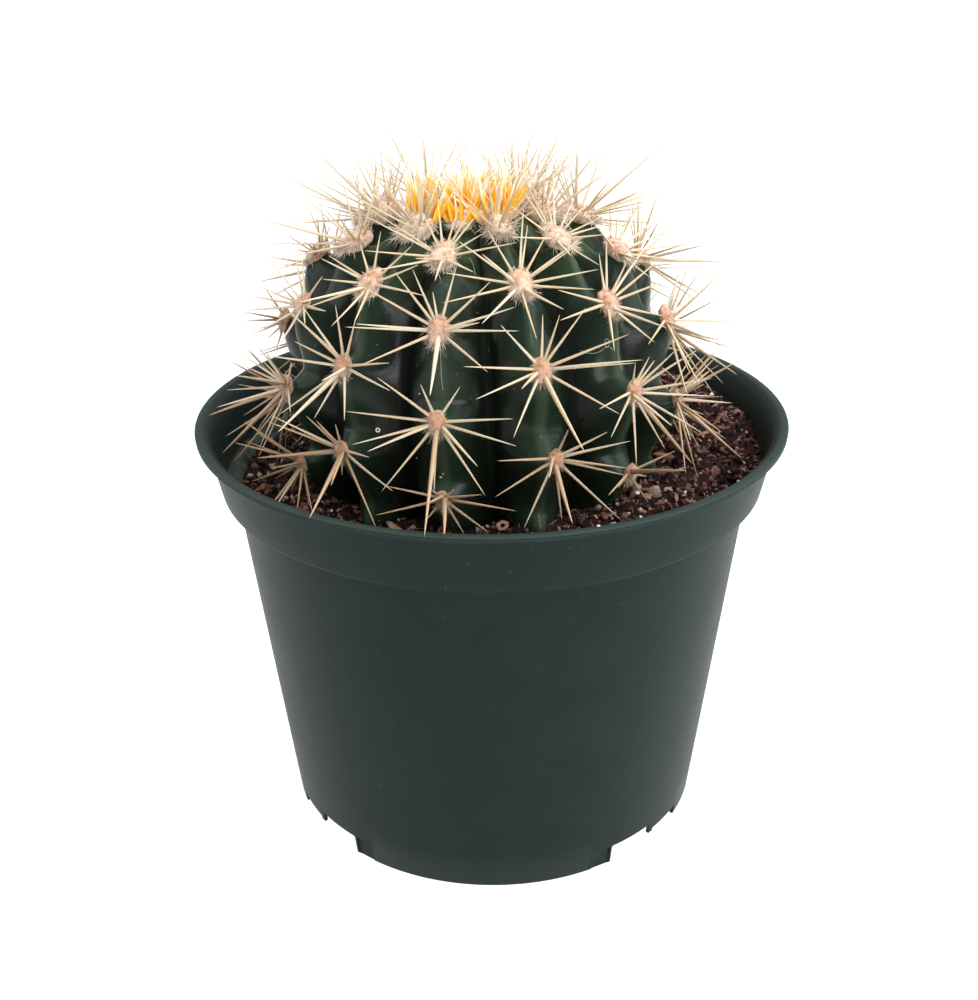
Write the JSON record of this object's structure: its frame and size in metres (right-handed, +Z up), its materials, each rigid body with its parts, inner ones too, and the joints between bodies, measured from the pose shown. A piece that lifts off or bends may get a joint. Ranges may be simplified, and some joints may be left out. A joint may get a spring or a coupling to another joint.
{
  "type": "potted barrel cactus",
  "caption": "Squat ribbed globe cactus with woolly pads, stiff cream spines and a golden crown, growing in soil in a round plastic nursery pot.",
  "frame": {"origin": "middle of the circle that the pot stands on", "axes": "+Z up, -Y the front that the picture shows, +X to its right"},
  "size_m": [0.165, 0.165, 0.1922],
  "materials": {
    "pot_plastic": "matt dark grey-green moulded plastic with a faint sheen",
    "soil": "damp dark brown peat and bark mix with white perlite grains, matt",
    "cactus_skin": "waxy dark green skin, soft satin gloss, paler along the crests and near the crown",
    "golden_spine": "golden-orange young spines, satin",
    "spine": "pale straw spines with fine cross ridges, satin",
    "wool": "fuzzy peach-beige felt"
  },
  "bodies": {
    "root": {"pot": "pot_plastic", "soil": "soil", "cactus": "cactus_skin", "crown": "golden_spine"}
  },
  "joints": []
}
